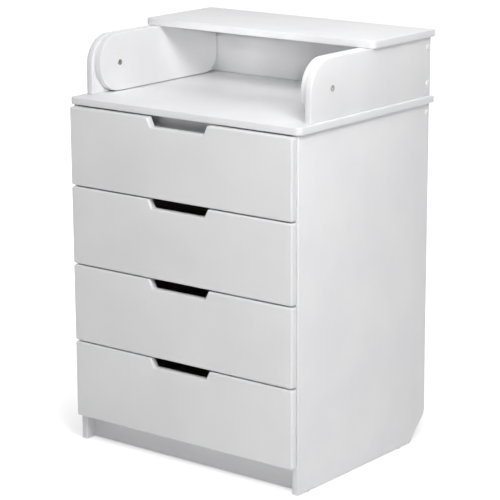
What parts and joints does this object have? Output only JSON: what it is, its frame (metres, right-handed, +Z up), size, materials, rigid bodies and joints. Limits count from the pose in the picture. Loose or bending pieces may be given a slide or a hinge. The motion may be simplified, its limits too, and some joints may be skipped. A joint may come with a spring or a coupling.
{
  "type": "changing dresser",
  "caption": "White chest of drawers for a nursery with a changing top that turns over forwards on two pivot bolts; full-overlay drawers with finger cut-outs.",
  "frame": {"origin": "centre of the bounding box in plan, at floor level under the glides", "axes": "+Z up; -Y towards the drawer fronts (the user's side); +X to the right as seen by the user"},
  "size_m": [0.636, 0.5084, 0.9435],
  "materials": {
    "white_board": "white melamine laminated board, fine pearl texture, satin",
    "drawer_front": "white foil-wrapped fibreboard, smooth satin",
    "hardboard": "thin hardboard, white lacquered face",
    "roller_nylon": "moulded nylon",
    "runner_steel": "white epoxy-coated rolled steel",
    "zinc_fixings": "zinc-plated",
    "pivot_steel": "nickel-plated steel",
    "white_plastic": "white moulded polyethylene"
  },
  "bodies": {
    "cabinet": {"back_panel": "hardboard", "bottom_panel": "white_board", "cabinet_connectors": "zinc_fixings", "cabinet_runners": "runner_steel", "confirmat_screws": "zinc_fixings", "front_rail": "white_board", "glides": "white_plastic", "outer_cheek_left": "white_board", "outer_cheek_right": "white_board", "pivot_screws": "pivot_steel", "pivot_sleeves": "pivot_steel", "pivot_washers": "white_plastic", "plinth_board": "white_board", "rear_rail": "white_board", "screw_caps": "white_plastic", "shelf_back_panel": "white_board", "side_panel_left": "white_board", "side_panel_right": "white_board", "worktop": "white_board"},
    "changing_top": {"inner_cheek_left": "white_board", "inner_cheek_right": "white_board", "lid_board": "white_board", "lid_connectors": "zinc_fixings"},
    "drawer_1": {"drawer_1_back": "white_board", "drawer_1_bottom": "hardboard", "drawer_1_fixings": "zinc_fixings", "drawer_1_front": "drawer_front", "drawer_1_runners": "runner_steel", "drawer_1_side_left": "white_board", "drawer_1_side_right": "white_board"},
    "front_rollers_1": {"cabinet_front_rollers_1": "roller_nylon"},
    "tail_rollers_1": {"drawer_1_tail_rollers": "roller_nylon"},
    "drawer_2": {"drawer_2_back": "white_board", "drawer_2_bottom": "hardboard", "drawer_2_fixings": "zinc_fixings", "drawer_2_front": "drawer_front", "drawer_2_runners": "runner_steel", "drawer_2_side_left": "white_board", "drawer_2_side_right": "white_board"},
    "front_rollers_2": {"cabinet_front_rollers_2": "roller_nylon"},
    "tail_rollers_2": {"drawer_2_tail_rollers": "roller_nylon"},
    "drawer_3": {"drawer_3_back": "white_board", "drawer_3_bottom": "hardboard", "drawer_3_fixings": "zinc_fixings", "drawer_3_front": "drawer_front", "drawer_3_runners": "runner_steel", "drawer_3_side_left": "white_board", "drawer_3_side_right": "white_board"},
    "front_rollers_3": {"cabinet_front_rollers_3": "roller_nylon"},
    "tail_rollers_3": {"drawer_3_tail_rollers": "roller_nylon"},
    "drawer_4": {"drawer_4_back": "white_board", "drawer_4_bottom": "hardboard", "drawer_4_fixings": "zinc_fixings", "drawer_4_front": "drawer_front", "drawer_4_runners": "runner_steel", "drawer_4_side_left": "white_board", "drawer_4_side_right": "white_board"},
    "front_rollers_4": {"cabinet_front_rollers_4": "roller_nylon"},
    "tail_rollers_4": {"drawer_4_tail_rollers": "roller_nylon"}
  },
  "joints": [
    {"name": "changing_top_turn", "type": "hinge", "parent": "cabinet", "child": "changing_top", "pos_m": [0, -0.11895, 0.8624], "axis": [1, 0, 0], "range_deg": [0, 180]},
    {"name": "drawer_1_slide", "type": "slide", "parent": "cabinet", "child": "drawer_1", "axis": [0, -1, 0], "range_m": [0, 0.34]},
    {"name": "front_rollers_1_turn", "type": "hinge", "parent": "cabinet", "child": "front_rollers_1", "pos_m": [0, -0.22175, 0.638], "axis": [1, 0, 0], "range_deg": [0, 1625]},
    {"name": "tail_rollers_1_turn", "type": "hinge", "parent": "drawer_1", "child": "tail_rollers_1", "pos_m": [0, 0.19975, 0.63505], "axis": [1, 0, 0], "range_deg": [0, 2000]},
    {"name": "drawer_2_slide", "type": "slide", "parent": "cabinet", "child": "drawer_2", "axis": [0, -1, 0], "range_m": [0, 0.34]},
    {"name": "front_rollers_2_turn", "type": "hinge", "parent": "cabinet", "child": "front_rollers_2", "pos_m": [0, -0.22175, 0.4585], "axis": [1, 0, 0], "range_deg": [0, 1625]},
    {"name": "tail_rollers_2_turn", "type": "hinge", "parent": "drawer_2", "child": "tail_rollers_2", "pos_m": [0, 0.19975, 0.45555], "axis": [1, 0, 0], "range_deg": [0, 2000]},
    {"name": "drawer_3_slide", "type": "slide", "parent": "cabinet", "child": "drawer_3", "axis": [0, -1, 0], "range_m": [0, 0.34]},
    {"name": "front_rollers_3_turn", "type": "hinge", "parent": "cabinet", "child": "front_rollers_3", "pos_m": [0, -0.22175, 0.279], "axis": [1, 0, 0], "range_deg": [0, 1625]},
    {"name": "tail_rollers_3_turn", "type": "hinge", "parent": "drawer_3", "child": "tail_rollers_3", "pos_m": [0, 0.19975, 0.27605], "axis": [1, 0, 0], "range_deg": [0, 2000]},
    {"name": "drawer_4_slide", "type": "slide", "parent": "cabinet", "child": "drawer_4", "axis": [0, -1, 0], "range_m": [0, 0.34]},
    {"name": "front_rollers_4_turn", "type": "hinge", "parent": "cabinet", "child": "front_rollers_4", "pos_m": [0, -0.22175, 0.0995], "axis": [1, 0, 0], "range_deg": [0, 1625]},
    {"name": "tail_rollers_4_turn", "type": "hinge", "parent": "drawer_4", "child": "tail_rollers_4", "pos_m": [0, 0.19975, 0.09655], "axis": [1, 0, 0], "range_deg": [0, 2000]}
  ],
  "couplings": [
    {"joint": "front_rollers_1_turn", "follows": "drawer_1_slide", "rad_per_m": 83.333},
    {"joint": "tail_rollers_1_turn", "follows": "drawer_1_slide", "rad_per_m": 102.56},
    {"joint": "front_rollers_2_turn", "follows": "drawer_2_slide", "rad_per_m": 83.333},
    {"joint": "tail_rollers_2_turn", "follows": "drawer_2_slide", "rad_per_m": 102.56},
    {"joint": "front_rollers_3_turn", "follows": "drawer_3_slide", "rad_per_m": 83.333},
    {"joint": "tail_rollers_3_turn", "follows": "drawer_3_slide", "rad_per_m": 102.56},
    {"joint": "front_rollers_4_turn", "follows": "drawer_4_slide", "rad_per_m": 83.333},
    {"joint": "tail_rollers_4_turn", "follows": "drawer_4_slide", "rad_per_m": 102.56}
  ]
}
